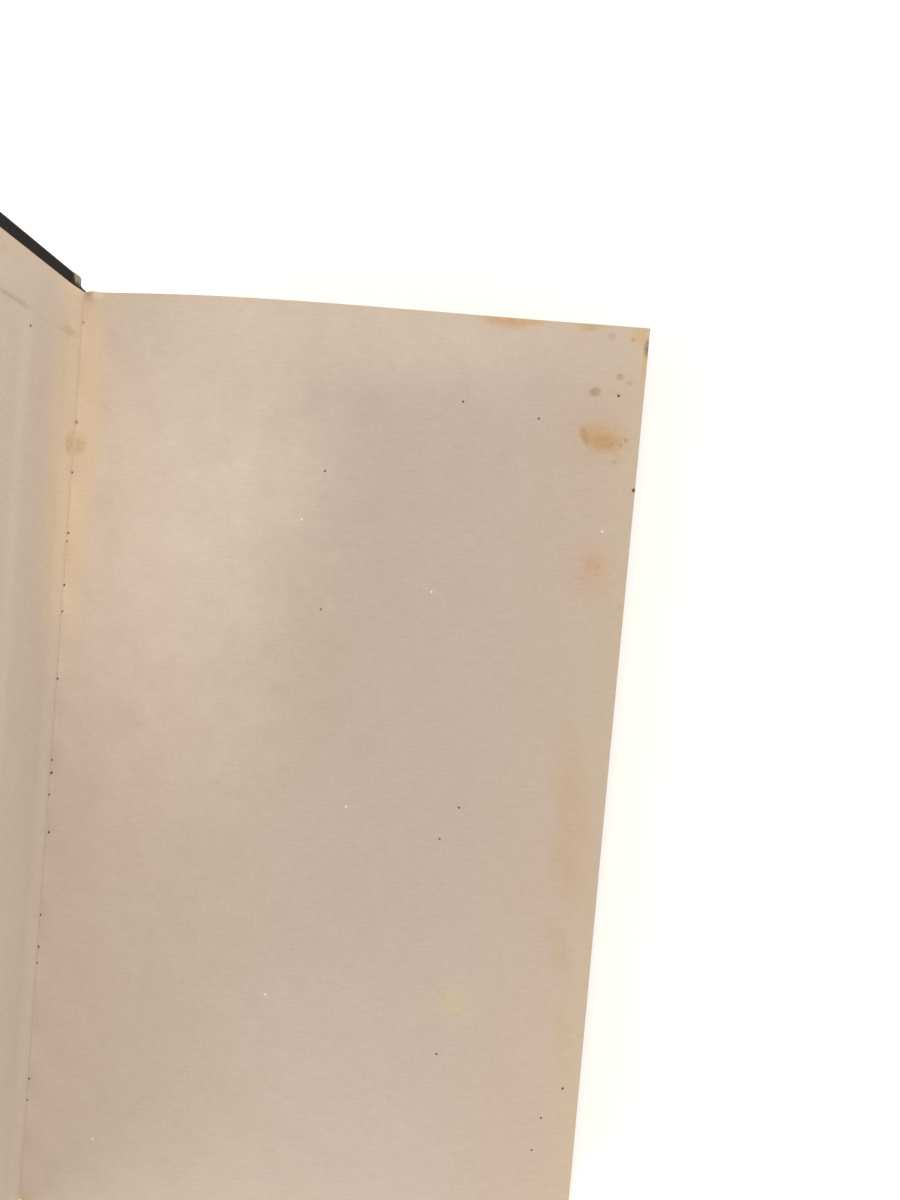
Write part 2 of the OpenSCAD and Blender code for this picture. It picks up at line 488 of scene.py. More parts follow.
@node_group("Foxing", [("Place", None), ("Spacing", 9.0), ("Share", 0.2), ("Size", 0.06)], ["Mask"])
def foxing(w, given, out):
    """A scatter of small rust-brown spots. Place is in millimetres."""
    place = given["Place"]
    wander = w.wander(place, 1.6, 3.0, reach=0.9)
    cells = w.add(
        "ShaderNodeTexVoronoi",
        {"Vector": w.vector("ADD", place, wander), "Scale": w.maths("DIVIDE", 1.0, given["Spacing"])},
        voronoi_dimensions="2D",
    )
    drawn = w.add("ShaderNodeSeparateColor", {"Color": cells.outputs["Color"]}).outputs
    size = w.times(given["Size"], w.plus(0.4, drawn["Green"]))
    spot = w.spread(cells.outputs["Distance"], size, w.times(size, 0.35), smooth=True)
    w.put(out["Mask"], w.times(spot, w.maths("LESS_THAN", drawn["Red"], given["Share"])))


@node_group("Plain weave", [("Place", None), ("Pitch", 0.42), ("Slub", 0.25)], ["Height", "Crown"])
def plain_weave(w, given, out):
    """Over-and-under threads of a plain weave. Place and Pitch are in millimetres."""
    wander = w.wander(given["Place"], 2.2, 2.0)
    place = w.vector("ADD", given["Place"], w.vector("SCALE", wander, given["Slub"]))
    axes = w.axes(w.vector("SCALE", place, w.maths("DIVIDE", math.pi, given["Pitch"])))
    across, along = w.maths("SINE", axes["X"]), w.maths("SINE", axes["Y"])
    warp, weft = w.maths("ABSOLUTE", across), w.maths("ABSOLUTE", along)
    over = w.spread(w.times(across, along), -0.25, 0.25, smooth=True)
    height = w.plus(w.times(warp, over), w.times(weft, w.minus(1.0, over)))
    w.put(out["Height"], height)
    w.put(out["Crown"], w.maths("POWER", height, 3.0))


@node_group("Leaf edges", [("Place", None)], ["Lines", "Dust"])
def page_edges(w, given, out):
    """Fine lines of stacked leaves seen from the side, and the dust between them. Place is in millimetres."""
    place = given["Place"]
    lines = w.noise(w.stretched(place, 0.03, 0.03, 5.5), 1.0, 4.0, 0.75)
    broad = w.noise(w.stretched(place, 0.05, 0.05, 0.9), 1.0, 2.0, 0.5)
    w.put(out["Lines"], w.spread(lines, 0.32, 0.68))
    patches = w.noise(place, 26.0, 4.0, 0.6)
    w.put(out["Dust"], w.times(w.spread(patches, 0.4, 0.75), w.spread(broad, 0.3, 0.7)))


def new_material(name, roughness, specular=0.25):
    """A material with its Principled shader, ready to be wired."""
    material = bpy.data.materials.new(name)
    material.use_nodes = True
    w = Wiring(material.node_tree)
    shader = next(node for node in material.node_tree.nodes if node.type == "BSDF_PRINCIPLED")
    shader.inputs["Roughness"].default_value = roughness
    shader.inputs["Specular IOR Level"].default_value = specular
    return material, w, shader.inputs


def map_place(w, label):
    """Places on a named map, in millimetres."""
    found = w.add("ShaderNodeUVMap", uv_map=label).outputs["UV"]
    return w.vector("SCALE", found, 1 / MM)


def solid_place(w):
    """Places in the book, in millimetres."""
    found = w.add("ShaderNodeTexCoord").outputs["Object"]
    return w.vector("SCALE", found, 1 / MM)


def dress(w, shader, tone, height, distance, strength):
    """Gives a material its colour and its fine relief."""
    bump = w.add("ShaderNodeBump", {"Height": height, "Distance": distance, "Strength": strength})
    w.put(shader["Base Color"], tone)
    w.put(shader["Normal"], bump.outputs["Normal"])


# Marks on the papers: place across and down in millimetres, radii, turn in degrees, ragged, softness, strength
# and colour on a screen, where no colour stands for the gutter's tan. Dots are place and radius.
RUST, OCHRE, BLACK, BROWN = (150, 112, 68), (178, 146, 100), (40, 32, 26), (128, 96, 60)
PINK, OLIVE, WHITE = (190, 163, 144), (146, 126, 88), (232, 224, 212)

# The front leaf's marks are stains and the gutter's tan, and its first three are painted light and painted shade.
LEAF_MARKS_AND_PAINTED_LIGHT = [
    # painted light: a lighter patch beside the fold, standing in for the brighter light there
    (26, 44, 30, 62, 0, 0.25, 0.8, 0.85, (209, 194, 178)),
    # painted light: a lighter band along the head
    (66, 4, 62, 12, 0, 0.3, 0.8, 0.6, (204, 189, 172)),
    # painted shade: a broad darker patch over the fore-edge half of the leaf, where less light falls
    (122, 118, 44, 84, 0, 0.3, 0.8, 0.5, (174, 158, 143)),
    (108.5, 0.3, 7.5, 1.5, 0, 0.35, 0.5, 0.75, (190, 146, 100)),
    (107, 1.2, 4.5, 1.6, 0, 0.35, 0.6, 0.5, (186, 150, 112)),
    (126.5, 0.4, 3.2, 1.2, 0, 0.35, 0.5, 0.65, (176, 148, 98)),
    (140, 1.4, 3.4, 2.4, 30, 0.35, 0.6, 0.6, (194, 152, 108)),
    (141, 5.0, 0.9, 2.2, 0, 0.7, 0.5, 0.85, (112, 86, 52)),
    (140.8, 9.5, 1.1, 3.4, 0, 0.5, 0.5, 0.7, (186, 156, 100)),
    (132.1, 2.7, 1.0, 0.8, 30, 0.7, 0.6, 0.3, RUST),
    (137.2, 3, 0.5, 0.45, 0, 0.7, 0.5, 0.5, RUST),
    (134.9, 12, 0.8, 0.7, -30, 0.9, 0.5, 0.5, RUST),
    (137.3, 13.4, 0.6, 0.5, 0, 0.9, 0.6, 0.35, RUST),
    (129.3, 16.1, 1.3, 1.05, 25, 0.4, 0.45, 0.75, OLIVE),
    (131.6, 27, 6.4, 5.0, -8, 0.75, 0.6, 0.55, (182, 150, 108)),
    (131.6, 27.2, 4.6, 3.0, -6, 0.85, 0.4, 0.75, (180, 144, 96)),
    (132.4, 28, 2.6, 1.7, 0, 0.6, 0.5, 0.5, (170, 128, 78)),
    (127.7, 26.6, 0.9, 2.0, 20, 0.9, 0.6, 0.5, RUST),
    (137.6, 26.9, 0.7, 0.5, -50, 0.9, 0.5, 0.45, OLIVE),
    (136.6, 28.4, 0.6, 0.4, -50, 0.9, 0.5, 0.45, OLIVE),
    (135.4, 32.4, 0.6, 0.5, -45, 0.9, 0.6, 0.45, OLIVE),
    (132.4, 59, 4.6, 6.2, 0, 0.5, 0.7, 0.6, (184, 152, 124)),
    (132.8, 57.6, 2.2, 2.6, 0, 0.6, 0.6, 0.4, (178, 142, 110)),
    (133.4, 121, 3.6, 19, 8, 0.5, 0.6, 0.5, (180, 150, 118)),
    (131.6, 133, 3.0, 8, 8, 0.5, 0.6, 0.35, (176, 146, 106)),
    (132.6, 152, 2.6, 6.5, 15, 0.5, 0.6, 0.45, (178, 148, 112)),
    (136, 176, 2.4, 9, 8, 0.5, 0.6, 0.35, (180, 154, 118)),
    (108, 168.3, 4.6, 4.2, 0, 0.4, 0.7, 0.5, (190, 174, 140)),
    (107.8, 168.6, 2.4, 2.0, 0, 0.5, 0.7, 0.3, (188, 173, 132)),
    (0, 35, 7.0, 52, 0, 0.22, 0.5, 0.75, None),
    (1.8, 38.3, 1.6, 2.0, 0, 0.5, 0.6, 0.5, (176, 150, 104)),
]
LEAF_DOTS = [
    (97.8, 20.9, 0.3), (116.4, 23.5, 0.3), (65.6, 40.2, 0.3), (67.4, 74, 0.26), (105.4, 119.7, 0.3),
    (135, 16.6, 0.36), (101.3, 127.9, 0.28), (105.2, 181.6, 0.3), (137, 187, 0.34), (132.3, 194.9, 0.28), (130.7, 203.3, 0.28),
    (0.2, 45.3, 0.32), (0.3, 60.7, 0.3), (0.1, 62.8, 0.3), (0.2, 74, 0.34), (0.2, 80.7, 0.28), (0.2, 98, 0.34),
    (0.2, 119, 0.3), (0.4, 122.3, 0.4), (0.2, 128, 0.32), (0.9, 137.7, 0.36), (0.2, 159.4, 0.32), (0.2, 167.8, 0.36),
    (0.2, 172, 0.28), (0.2, 202.6, 0.36), (0.2, 208.4, 0.28), (140.7, 38.8, 0.5),
]
LEAF_SPECKS = [(60.9, 52.5), (94.1, 67.4), (134.1, 49.2), (19.5, 214.5), (61.4, 171.2), (77.6, 122.1)]
LEAF_BROWN = [(0.4, 32.6, 0.55), (0.3, 7.6, 0.4)]
BOARD_MARKS = [
    (60, 120, 70, 160, 0, 0.3, 0.8, 0.5, (188, 175, 162)),
    (0, 32, 14, 52, 0, 0.22, 0.5, 0.65, None),
    (6.6, 11.4, 3.6, 1.1, 0, 0.4, 0.6, 0.5, (152, 142, 118)),
    (2.4, 38.3, 1.7, 2.4, 0, 0.5, 0.6, 0.55, (170, 146, 98)),
    (60, 3, 20, 3, 0, 0.6, 0.6, 0.35, OCHRE),
    (120, 90, 9, 16, 0, 0.6, 0.6, 0.35, OCHRE),
]
BOARD_DOTS = [(26.9, 15.5, 0.36), (30, 96, 0.3), (74, 60, 0.3), (96, 171, 0.34), (52, 203, 0.3)]


def paper_material(name, papers, marks=(), dots=(), specks=(), browns=(), foxed=0.0, fold_shade=0.0):
    """Old endpaper with its toning, clouds, fibres and the marks given for it."""
    material, w, shader = new_material(name, 0.88, 0.2)
    place = map_place(w, SHEET_MAP)
    fibres = w.group(paper_fibres(), Place=place, Fibre=1.0).outputs
    tone = w.mix(w.spread(fibres["Clouds"], 0.32, 0.68), papers.shaded, papers.paper)
    toning = w.group(edge_toning(), Place=place, Width=LEAF_W, Height=LEAF_H, Fore=13.0, Head=4.0, Ragged=8.0).outputs
    tone = w.mix(w.times(toning["Rim"], 0.25), tone, linear(*PINK))
    tone = w.mix(w.times(toning["Mask"], 0.75), tone, papers.toned)
    fine_wander = w.wander(place, 2.6, 4.0, 0.6)
    slow_wander = w.wander(place, 11.0, 4.0, 0.65, reach=2.4)
    mid_wander = w.wander(place, 4.2, 5.0, 0.7, reach=1.9)
    broken = w.spread(w.noise(place, 1.5, 4.0, 0.7), 0.36, 0.6, 0.62, 1.0)
    # The marks are stains and the gutter's tan, and on the front leaf also patches of painted light and painted
    # shade.
    for x, y, across, down, turn, ragged, softness, strength, shade in marks:
        size = max(across, down)
        strays = slow_wander if size > 12 else mid_wander if size > 3 else fine_wander
        mask = w.group(
            stain_and_painted_light(), Place=place, Wander=strays, Centre=(x, y, 0), Radii=(across, down, 1),
            Turn=math.radians(turn), Ragged=ragged, Softness=softness, Strength=strength,
        ).outputs[0]
        if size > 3:
            mask = w.times(mask, w.spread(fibres["Clouds"], 0.3, 0.62, 0.55, 1.0))
        if size < 12:
            mask = w.times(mask, broken)
        tone = w.mix(mask, tone, linear(*shade) if shade else papers.tan)
    if foxed:
        spots = w.group(foxing(), Place=place, Spacing=11.0, Share=foxed, Size=0.09).outputs[0]
        tone = w.mix(w.times(spots, 0.6), tone, linear(*RUST))
    small = [(x, y, r, BLACK, 0.85) for x, y, r in dots] + [(x, y, 0.3, WHITE, 0.75) for x, y in specks]
    small += [(x, y, r, BROWN, 0.6) for x, y, r in browns]
    shaken = w.vector("ADD", place, w.vector("SCALE", fine_wander, 0.36))
    for x, y, r, shade, strength in small:
        mask = w.group(speck(), Place=shaken, Centre=(x, y, 0), Radius=r, Strength=strength).outputs[0]
        tone = w.mix(mask, tone, linear(*shade))
    # Painted shade: the paper darkens within 0.7 mm of the fold, where the crease lies in shade.
    if fold_shade:
        x = w.axes(w.vector("ADD", place, w.vector("SCALE", fine_wander, 0.5)))["X"]
        tone = w.mix(w.times(w.spread(x, 0.7, 0.0, smooth=True), fold_shade), tone, linear(126, 104, 78))
    tone = w.mix(w.times(fibres["Fibres"], 0.09), tone, linear(120, 100, 84), "MULTIPLY")
    dress(w, shader, tone, fibres["Height"], 0.00006, 0.55)
    return material


def cloth_material(cloth):
    """Black book cloth: plain weave, rubbed along edges and joints, bare at its most worn."""
    material, w, shader = new_material("black_book_cloth", 0.8, 0.12)
    place = map_place(w, THREAD_MAP)
    weave = w.group(plain_weave(), Place=place, Pitch=cloth.pitch / MM, Slub=0.3).outputs
    worn = w.add("ShaderNodeAttribute", attribute_type="GEOMETRY", attribute_name="worn").outputs["Fac"]
    patches = w.noise(place, 5.0, 5.0, 0.7)
    scuffs = w.spread(w.noise(w.stretched(place, 1.0, 0.35), 1.4, 4.0, 0.7), 0.58, 0.75)
    rub = w.times(w.spread(w.plus(worn, w.times(patches, 0.7)), 0.62, 1.15), 1.0, clamp=True)
    rub = w.maths("MAXIMUM", rub, w.times(scuffs, 0.12))
    crown = w.times(w.plus(0.35, w.times(weave["Crown"], 0.9)), rub, clamp=True)
    clouds = w.noise(place, 30.0, 3.0)
    dye = w.mix(w.spread(clouds, 0.35, 0.65), [c * 0.8 for c in cloth.black], [c * 1.15 for c in cloth.black])
    tone = w.mix(crown, dye, cloth.rubbed)
    gone = w.spread(w.plus(worn, w.times(patches, 0.5)), 1.05, 1.3)
    bare = w.times(gone, w.plus(0.55, w.times(weave["Crown"], 0.5)), clamp=True)
    tone = w.mix(bare, tone, cloth.bare)
    lint = w.spread(w.noise(w.stretched(place, 2.4, 0.7), 1.0, 2.0, 0.6), 0.76, 0.84)
    tone = w.mix(w.times(lint, 0.25), tone, linear(150, 142, 130))
    w.put(shader["Roughness"], w.spread(crown, 0.0, 1.0, 0.72, 0.9))
    dress(w, shader, tone, weave["Height"], 0.00012, 0.7)
    return material


def edges_material(block):
    """The cut edges of the leaves: fine lines, dust and toning."""
    material, w, shader = new_material("leaf_edges", 0.9, 0.15)
    place = solid_place(w)
    edges = w.group(page_edges(), Place=place).outputs
    fibres = w.group(paper_fibres(), Place=place, Fibre=0.4).outputs
    tone = w.mix(w.times(edges["Lines"], 0.55), block.edge, linear(166, 142, 106))
    tone = w.mix(w.times(edges["Dust"], 0.6), tone, block.dust)
    tone = w.mix(w.times(w.spread(fibres["Clouds"], 0.42, 0.6), 0.3), tone, linear(222, 206, 176))
    dress(w, shader, tone, edges["Lines"], 0.0001, 0.6)
    return material


def plain_paper_material(name, light, dark):
    """Card or kraft paper that is mostly hidden: fibres and clouds only."""
    material, w, shader = new_material(name, 0.9, 0.15)
    fibres = w.group(paper_fibres(), Place=solid_place(w), Fibre=0.8).outputs
    tone = w.mix(w.spread(fibres["Clouds"], 0.38, 0.62), dark, light)
    tone = w.mix(w.times(fibres["Fibres"], 0.3), tone, [c * 0.6 for c in dark])
    dress(w, shader, tone, fibres["Height"], 0.0001, 0.7)
    return material


def thread_material(name, light, dark, pitch):
    """Undyed thread or gauze."""
    material, w, shader = new_material(name, 0.9, 0.15)
    place = w.vector("ADD", solid_place(w), (0.1, 0.1, 0))
    weave = w.group(plain_weave(), Place=place, Pitch=pitch, Slub=0.3).outputs
    dress(w, shader, w.mix(weave["Height"], dark, light), weave["Height"], 0.0002, 0.8)
    return material


# ---- the cloth


def joint_curve(angle):
    """The cloth from the spine's middle to the board's flat, for a cover opened by an angle.

    Each stop is (place, way in, depth to the folded-in cloth, u, w), with u and w only on the cover.
    """
    stops = []
    end = math.asin(SPINE_HALF / SPINE_R)
    for k in range(13):
        a = end * k / 12
        spot = (ROUND_X - SPINE_R * math.cos(a), -MIDDLE + SPINE_R * math.sin(a))
        stops.append((spot, (math.cos(a), -math.sin(a)), SPINE_FOLD, None))
    inward = (math.sin(angle), -math.cos(angle))
    flat = [(2.0, 1.42), (3.2, 1.4), (4.2, 1.46), (4.8, 1.75), (5.06, 2.35)]
    flat += [(5.16, 3.0), (5.5, 3.58), (6.2, 3.84), (7.3, SKIN_W)]
    shift, lift = BOARD_AT - 5.5, SKIN_W - 3.9
    flat = [(u + shift, w + (lift if w > 2 else 0)) for u, w in flat]
    a, b = stops[-1][0], cover_place(*flat[0], angle)
    reach = math.dist(a, b)
    along_a = (math.sin(end), math.cos(end))
    along_b = (math.cos(angle), math.sin(angle))
    for k in range(1, 11):
        t = k / 11
        c1 = [a[n] + along_a[n] * reach * 0.36 for n in (0, 1)]
        c2 = [b[n] - along_b[n] * reach * 0.36 for n in (0, 1)]
        rest = 1 - t
        spot = [rest**3 * a[n] + 3 * rest**2 * t * c1[n] + 3 * rest * t * t * c2[n] + t**3 * b[n] for n in (0, 1)]
        way = [stops[12][1][n] * (1 - t) + inward[n] * t for n in (0, 1)]
        size = math.hypot(*way)
        depth = SPINE_FOLD + (flat[0][1] - FOLD_W - SPINE_FOLD) * t
        stops.append((tuple(spot), (way[0] / size, way[1] / size), depth, None))
    padded = [flat[0]] + flat + [(flat[-1][0] + 2, SKIN_W)]
    for k in range(1, len(padded) - 2):
        p0, p1, p2, p3 = padded[k - 1 : k + 3]
        for step in range(3):
            t = step / 3
            uw = [
                0.5 * (2 * p1[n] + (p2[n] - p0[n]) * t + (2 * p0[n] - 5 * p1[n] + 4 * p2[n] - p3[n]) * t * t
                       + (3 * p1[n] - p0[n] - 3 * p2[n] + p3[n]) * t**3)
                for n in (0, 1)
            ]
            stops.append((cover_place(*uw, angle), inward, uw[1] - FOLD_W, tuple(uw)))
    return stops, inward


def edge_wrap(depth, radius, fold):
    """Steps of cloth round an edge and inside: (outward from the edge, depth from the outer face)."""
    turns = [(math.sin(math.radians(a)), math.cos(math.radians(a))) for a in (0, 22.5, 45, 67.5, 90)]
    steps = [(-radius + radius * sine, radius - radius * cosine) for sine, cosine in turns]
    steps += [(0.0, depth / 2)]
    steps += [(-radius + radius * cosine, depth - radius + radius * sine) for sine, cosine in turns]
    steps += [(-radius - (fold - radius) * t, depth) for t in (0.12, 0.3, 0.5, 0.75, 1.0)]
    return steps


def case_cloth(name, angle, place, settings):
    """Half of the case's cloth: from the middle of the spine, through the joint, over the board and folded in."""
    radius = settings.edge_round / MM
    corner = settings.corner_round / MM
    stops, inward = joint_curve(angle)
    for u in stations((stops[-1][3][0], CASE_END - radius, 3.0))[1:]:
        stops.append((cover_place(u, SKIN_W, angle), inward, SKIN_W - FOLD_W, (u, SKIN_W)))
    rows = stations((-1.0, -0.96, 0.01), (-0.96, 0.96, 0.0245), (0.96, 1.0, 0.01))
    points, pairs, worn = [], [], []
    run = [0.0]
    for one, two in zip(stops, stops[1:]):
        run.append(run[-1] + math.dist(one[0], two[0]))

    def rounded(u, y):
        du, dy = u - (CASE_END - corner), abs(y) - (CASE_HALF - corner)
        if du > 0 and dy > 0:
            size = max(du, dy) / math.hypot(du, dy)
            u, y = CASE_END - corner + du * size, math.copysign(CASE_HALF - corner + dy * size, y)
        return u, y

    def wear(u, y, out, depth, cover, k):
        """How worn the cloth is at a place."""
        tail = abs(y)
        value = 0.0
        if cover:
            if out is not None:
                value = 0.55 * bell(depth, 0.3, 0.9) * (out > -radius - 0.01)
            value = max(value, 0.95 * bell(math.hypot(CASE_END - u, CASE_HALF - tail), 0, 6))
            value = max(value, 0.4 * bell(u, BOARD_AT + 0.3, 1.1))
            value = max(value, 0.5 * max(bell(CASE_END - u, 0, 1.1), bell(CASE_HALF - tail, 0, 1.1)) * (depth < 1.5))
        else:
            value = 0.56 * bell(CASE_HALF - tail, 0, 2.4) + 0.12
        joint = (1.35 if y > 0 else 0.95) * bell(k, 23, 6) * bell(CASE_HALF - tail, 0, 3.5)
        if cover:
            joint = max(joint, 1.35 * bell(u, BOARD_AT - 1.5, 2.4) * bell(CASE_HALF - tail, 0, 3.5))
        return max(value, joint)

    def put(j, y, depth, uw, out=None):
        if uw is not None:
            u, y = rounded(uw[0], y)
            x, z = cover_place(u, uw[1] - depth, angle)
        else:
            spot, way, _, _ = stops[j]
            x, z = spot[0] + way[0] * depth, spot[1] + way[1] * depth
        points.append(place(x, y, z))
        worn.append(wear(uw[0] if uw else 0, y, out, depth, uw is not None, j))
        pairs.append((run[j] * MM, y * MM))
        return len(points) - 1

    def radius_at(j):
        return min(radius, 0.45 * stops[j][2])

    grid = [[put(j, t * (CASE_HALF - radius_at(j)), 0.0, stops[j][3]) for j in range(len(stops))] for t in rows]
    faces = []
    for upper, lower in zip(grid, grid[1:]):
        faces += [(upper[j], upper[j + 1], lower[j + 1], lower[j]) for j in range(len(stops) - 1)]
    wraps = [edge_wrap(stops[j][2], radius_at(j), TURN_IN) for j in range(len(stops))]
    reach = [[0.0] for _ in stops]
    for j, wrap in enumerate(wraps):
        for one, two in zip(wrap, wrap[1:]):
            reach[j].append(reach[j][-1] + math.dist(one, two))
    for side, row in ((-1, grid[0]), (1, grid[-1])):
        before = row
        for k in range(1, len(wraps[0])):
            line = []
            for j in range(len(stops)):
                out, depth = wraps[j][k]
                uw = stops[j][3]
                if uw is not None:
                    u = CASE_END + out if j == len(stops) - 1 else min(uw[0], CASE_END + out)
                    uw = (u, uw[1])
                index = put(j, side * (CASE_HALF + out), depth, uw, out)
                pairs[index] = (pairs[index][0], side * (CASE_HALF - radius_at(j) + reach[j][k]) * MM)
                line.append(index)
            for j in range(len(stops) - 1):
                face = (before[j], before[j + 1], line[j + 1], line[j])
                faces.append(face if side > 0 else face[::-1])
            before = line
    before = [row[-1] for row in grid]
    for k in range(1, len(wraps[-1])):
        out, depth = wraps[-1][k]
        line = []
        limit = CASE_HALF + out
        for i, t in enumerate(rows):
            y = t * (CASE_HALF - radius)
            y = math.copysign(limit, y) if i in (0, len(rows) - 1) else max(-limit, min(limit, y))
            index = put(len(stops) - 1, y, depth, (CASE_END + out, SKIN_W), out)
            pairs[index] = ((run[-1] + reach[-1][k]) * MM, y * MM)
            line.append(index)
        faces += [(before[i], line[i], line[i + 1], before[i + 1]) for i in range(len(rows) - 1)]
        before = line
    flat_width, flat_height = run[-1] + reach[-1][-1], 2 * (CASE_HALF - radius + reach[-1][-1])
    piece = new_piece(name, points, faces, [(THREAD_MAP, pairs)])
    mark = piece.data.attributes.new("worn", "FLOAT", "POINT")
    mark.data.foreach_set("value", np.array(worn, np.float32))
    mesh = bmesh.new()
    mesh.from_mesh(piece.data)
    bmesh.ops.remove_doubles(mesh, verts=mesh.verts, dist=2e-6)
    bmesh.ops.dissolve_degenerate(mesh, edges=mesh.edges, dist=1e-7)
    bmesh.ops.recalc_face_normals(mesh, faces=mesh.faces)
    mesh.faces.ensure_lookup_table()
    spine = min(mesh.faces, key=lambda face: face.calc_center_median().x)
    if spine.normal.x > 0:
        bmesh.ops.reverse_faces(mesh, faces=mesh.faces)
    mesh.to_mesh(piece.data)
    mesh.free()
    piece.data.shade_smooth()
    thicken(piece, settings.thickness)
    return piece, flat_width * MM, flat_height * MM


class OPENBOOK_OT_cloth(bpy.types.Operator):
    """Cover the boards and the spine with black book cloth"""

    bl_idname = "openbook.cloth"
    bl_label = "Book Cloth"

    def execute(self, context):
        settings = context.scene.open_book.cloth
        material = cloth_material(settings)
        front, width, height = case_cloth("case_cloth_front", OPEN_AT, by_front, settings)
        back, _, _ = case_cloth("case_cloth_back", 0.0, by_back, settings)
        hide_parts("front_cover_cloth", "spine_cloth")
        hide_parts("back_cover_cloth")
        for piece in (front, back):
            piece.data.materials.append(material)
        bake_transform(front)
        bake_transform(back)
        return {"FINISHED"}


# ---- the papers


def leaf_rise(x, y, papers):
    """Height of the free leaf over the fold, x from the fold and y from the head."""
    crest, at, lift = papers.crest / MM, papers.crest_at / MM, papers.fore_lift / MM
    if x < at:
        z = crest * (1 - (1 - x / at) ** 2)
    else:
        z = crest - (crest - lift) * ((x - at) / (LEAF_W - at)) ** 1.5
    free = ease(x, 0.0, 14.0)
    z += free * (papers.cockle / MM) * (ripple(x, y, 34, 1.5) + ripple(x, y, 11, 7.5) * 0.35)
    z += 0.35 * ease(x, 90, LEAF_W) * math.sin(y / 31.0 + 0.6)  # waves of the fore edge
    z += 0.5 * bell(x, LEAF_W, 22) * bell(y, 0, 30)  # lifted corner
    z += 1.0 * bell(x, 2.8, 1.8) * bell(y, 0, 2.2)  # pinch at the fold's head
    z += 0.14 * bell(x, 5, 5) * math.sin(y / 3.1 + 1.5 * math.sin(y / 17)) * ease(x, 0, 1.5)  # puckers by the fold
    return max(0.0, z)


class OPENBOOK_OT_leaf(bpy.types.Operator):
    """Lay the front free endpaper, arched from the fold"""

    bl_idname = "openbook.leaf"
    bl_label = "Front Free Endpaper"

    def execute(self, context):
        papers = context.scene.open_book.papers
        across = stations((0.018, 1, 0.25), (1, 8, 0.5), (8, LEAF_W, 1.6))
        down = stations((0, 6, 0.5), (6, LEAF_H - 4, 1.7), (LEAF_H - 4, LEAF_H, 1.0))

        def place(x, y):
            bowed = 0.4 * bell(x, 66, 38) * ease(y, 40, 0)
            return by_front(x, LEAF_H / 2 - y + bowed, leaf_rise(x, y, papers))

        piece = paper_sheet("front_leaf", across, down, place, papers.thickness, flip=True)
        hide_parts("front_free_endpaper")
        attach(piece, "book_block")
        piece.data.materials.append(
            paper_material("front_leaf_paper", papers, LEAF_MARKS_AND_PAINTED_LIGHT, LEAF_DOTS, LEAF_SPECKS, LEAF_BROWN)
        )
        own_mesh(piece)
        return {"FINISHED"}


def paste_level(u, y):
    """How deep the pastedown sits: it stands over the turned-in cloth and the mull and sinks between them."""
    edge = FOLD_W - 0.11
    deep = PASTE_W - 0.11
    inside_head = min(y, LEAF_H - y) - (TURN_IN - SQUARE)
    inside_fore = (CASE_END - TURN_IN) - u
    sunk = ease(min(inside_head, inside_fore), -0.3, 0.9)
    over_mull = 1 - ease(u, MULL_END + 0.1, MULL_END + 6.0)
    level = edge + sunk * ((deep - edge) * (1 - over_mull) + 0.04 * over_mull)
    level -= 0.03 * bell(inside_head, -0.2, 0.8) * ease(u, 3, 7)
    in_joint = ease(u, 0.0, 7.0)
    level = level * in_joint + 0.02 * bell(u, 3.2, 1.2)
    level += 0.012 * ripple(u, y, 14, 3.5) * ease(u, 4, 12)
    return level


def pastedown(name, angle, place, papers, material):
    ridge = CASE_END - TURN_IN
    across = stations(
        (0.006, 1.5, 0.25), (1.5, 8, 0.5), (8, MULL_END - 2, 1.4), (MULL_END - 2, MULL_END + 7, 0.7),
        (MULL_END + 7, ridge - 2, 1.8), (ridge - 2, ridge + 1, 0.4), (ridge + 1, LEAF_W, 1.6),
    )
    fold = TURN_IN - SQUARE
    far = LEAF_H - fold
    down = stations(
        (0, fold - 2, 1.0), (fold - 2, fold + 2, 0.35), (fold + 2, far - 2, 1.8), (far - 2, far + 2, 0.35),
        (far + 2, LEAF_H, 1.0),
    )

    def on_board(u, y):
        x, z = cover_place(u, paste_level(u, y), angle)
        return place(x, LEAF_H / 2 - y, z)

    mirrored = place is by_back
    piece = paper_sheet(name, across, down, on_board, papers.thickness * 0.5, flip=mirrored)
    piece.data.materials.append(material)
    return piece


class OPENBOOK_OT_pastedowns(bpy.types.Operator):
    """Paste the endpapers to the boards, with the folded-in cloth showing through"""

    bl_idname = "openbook.pastedowns"
    bl_label = "Pastedowns"

    def execute(self, context):
        papers = context.scene.open_book.papers
        marked = paper_material("front_pastedown_paper", papers, BOARD_MARKS, BOARD_DOTS)
        # The back paper gets painted shade along the fold.
        foxed = paper_material("back_paper", papers, BOARD_MARKS[3:], foxed=0.1, fold_shade=0.3)
        front = pastedown("front_pastedown_sheet", OPEN_AT, by_front, papers, marked)
        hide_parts("front_pastedown")
        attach(front, "front_cover")
        back = pastedown("back_pastedown_sheet", 0.0, by_back, papers, foxed)
        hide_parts("back_pastedown")
        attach(back, "back_cover")
        across = stations((1, 9, 1.0), (9, LEAF_W, 2.4))

        def under_block(x, y):
            clear = 0.06 + 0.04 * ripple(x, y, 20, 5.5)
            return by_back(x, LEAF_H / 2 - y, clear * ease(x, 2, 10) - 0.1 * (1 - ease(x, 2, 8)))

        down = stations((0, LEAF_H, 2.4))
        leaf = paper_sheet("back_leaf", across, down, under_block, papers.thickness * 0.8)
        leaf.data.materials.append(foxed)
        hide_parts("back_free_endpaper")
        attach(leaf, "book_block")
        return {"FINISHED"}


# ---- the block of leaves


